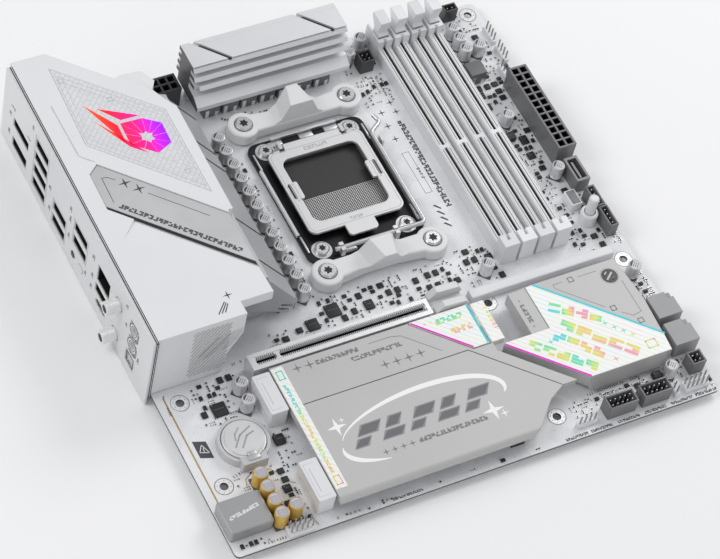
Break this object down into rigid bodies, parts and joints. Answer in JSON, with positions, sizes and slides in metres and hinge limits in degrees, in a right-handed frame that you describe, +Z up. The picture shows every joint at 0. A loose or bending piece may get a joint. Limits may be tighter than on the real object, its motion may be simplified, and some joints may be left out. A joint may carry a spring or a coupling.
{
  "type": "computer motherboard",
  "caption": "Square white circuit board with a rear connector plate under an angular shroud, finned heatsinks, a processor socket, memory and expansion slots, and flat drive covers.",
  "frame": {"origin": "centre of the standard datum mounting hole (10.16 mm from the rear edge, 34.29 mm from the front edge) on the board's underside", "axes": "+X away from the rear connectors, +Y towards the CPU power edge, +Z up out of the component side"},
  "size_m": [0.2541, 0.2515, 0.0455],
  "materials": {
    "board": "satin white solder mask",
    "shroud_white": "fine satin",
    "window": "translucent, patterned",
    "band_grey": "printed",
    "black": "matte",
    "white_plastic": "satin",
    "light_plastic": "satin",
    "plate_steel": "satin, painted",
    "shell_steel": "nickel plated",
    "aluminium": "bead blasted",
    "cover_aluminium": "printed, satin",
    "gold": "gold plated",
    "steel": "satin",
    "capacitor": "bare, printed",
    "audio_gold": "gloss gold sleeve",
    "choke_grey": "moulded ferrite",
    "chip_black": "moulded epoxy",
    "pad": "soft silicone"
  },
  "bodies": {
    "board": {"circuit_board": "board", "io_plate": "plate_steel", "usb_ports": "shell_steel", "display_ports": "shell_steel", "lan_port": "shell_steel", "antenna_jacks": "gold", "audio_jacks": "black", "button_switches": "black", "io_shroud": "shroud_white", "shroud_window": "window", "shroud_band": "band_grey", "shroud_stripe": "black", "vrm_heatsink_rear": "aluminium", "vrm_heatsink_top": "aluminium", "power_stages": "chip_black", "thermal_pads": "pad", "chokes": "choke_grey", "capacitors": "capacitor", "audio_capacitors": "audio_gold", "socket_body": "light_plastic", "socket_contacts": "gold", "socket_frame": "steel", "socket_screws": "steel", "socket_backplate": "steel", "cooler_bracket_upper": "white_plastic", "cooler_bracket_lower": "white_plastic", "bracket_screws": "steel", "memory_slots": "white_plastic", "pcie_slot": "white_plastic", "pcie_shell": "shell_steel", "m2_cover_lower": "cover_aluminium", "m2_cover_upper": "cover_aluminium", "m2_cover_small": "cover_aluminium", "chipset_heatsink": "cover_aluminium", "chipset": "chip_black", "trim_rail": "white_plastic", "m2_end_clips": "white_plastic", "m2_sockets": "black", "atx_power": "white_plastic", "cpu_power": "white_plastic", "sata_ports": "light_plastic", "usb_c_header": "shell_steel", "pin_headers": "white_plastic", "start_button_base": "white_plastic", "battery_holder": "white_plastic", "coin_cell": "steel", "audio_shield": "black", "integrated_circuits": "chip_black", "heatsink_screws": "steel"},
    "bios_button": {"bios_button": "white_plastic"},
    "clear_button": {"clear_button": "black"},
    "load_plate": {"load_plate": "steel"},
    "socket_lever": {"socket_lever": "steel"},
    "memory_latch_1": {"memory_latch_1": "white_plastic"},
    "memory_latch_2": {"memory_latch_2": "white_plastic"},
    "memory_latch_3": {"memory_latch_3": "white_plastic"},
    "memory_latch_4": {"memory_latch_4": "white_plastic"},
    "pcie_latch": {"pcie_latch": "white_plastic"},
    "start_button": {"start_button": "black"},
    "m2_drive_latch": {"m2_drive_latch": "black"}
  },
  "joints": [
    {"name": "bios_button_press", "type": "slide", "parent": "board", "child": "bios_button", "axis": [1, 0, 0], "range_m": [0, 0.0008], "stiffness_N_per_m": 900, "springref_m": -0.0002},
    {"name": "clear_button_press", "type": "slide", "parent": "board", "child": "clear_button", "axis": [1, 0, 0], "range_m": [0, 0.0008], "stiffness_N_per_m": 900, "springref_m": -0.0002},
    {"name": "start_button_press", "type": "slide", "parent": "board", "child": "start_button", "axis": [0, 0, -1], "range_m": [0, 0.001], "stiffness_N_per_m": 900, "springref_m": -0.0002},
    {"name": "load_plate_hinge", "type": "hinge", "parent": "board", "child": "load_plate", "pos_m": [0.11684, 0.15631, 0.0066], "axis": [-1, 0, 0], "range_deg": [0, 110]},
    {"name": "socket_lever_hinge", "type": "hinge", "parent": "board", "child": "socket_lever", "pos_m": [0.11684, 0.09391, 0.007], "axis": [1, 0, 0], "range_deg": [0, 120]},
    {"name": "memory_latch_1_hinge", "type": "hinge", "parent": "board", "child": "memory_latch_1", "pos_m": [0.17434, 0.19971, 0.005], "axis": [-1, 0, 0], "range_deg": [0, 28]},
    {"name": "memory_latch_2_hinge", "type": "hinge", "parent": "board", "child": "memory_latch_2", "pos_m": [0.18364, 0.19971, 0.005], "axis": [-1, 0, 0], "range_deg": [0, 28]},
    {"name": "memory_latch_3_hinge", "type": "hinge", "parent": "board", "child": "memory_latch_3", "pos_m": [0.19294, 0.19971, 0.005], "axis": [-1, 0, 0], "range_deg": [0, 28]},
    {"name": "memory_latch_4_hinge", "type": "hinge", "parent": "board", "child": "memory_latch_4", "pos_m": [0.20224, 0.19971, 0.005], "axis": [-1, 0, 0], "range_deg": [0, 28]},
    {"name": "pcie_latch_hinge", "type": "hinge", "parent": "board", "child": "pcie_latch", "pos_m": [0.12784, 0.04931, 0.0048], "axis": [0, 1, 0], "range_deg": [0, 15]},
    {"name": "m2_drive_latch_turn", "type": "hinge", "parent": "board", "child": "m2_drive_latch", "pos_m": [0.04844, -0.01669, 0.002], "axis": [0, 0, 1], "range_deg": [0, 90]}
  ]
}
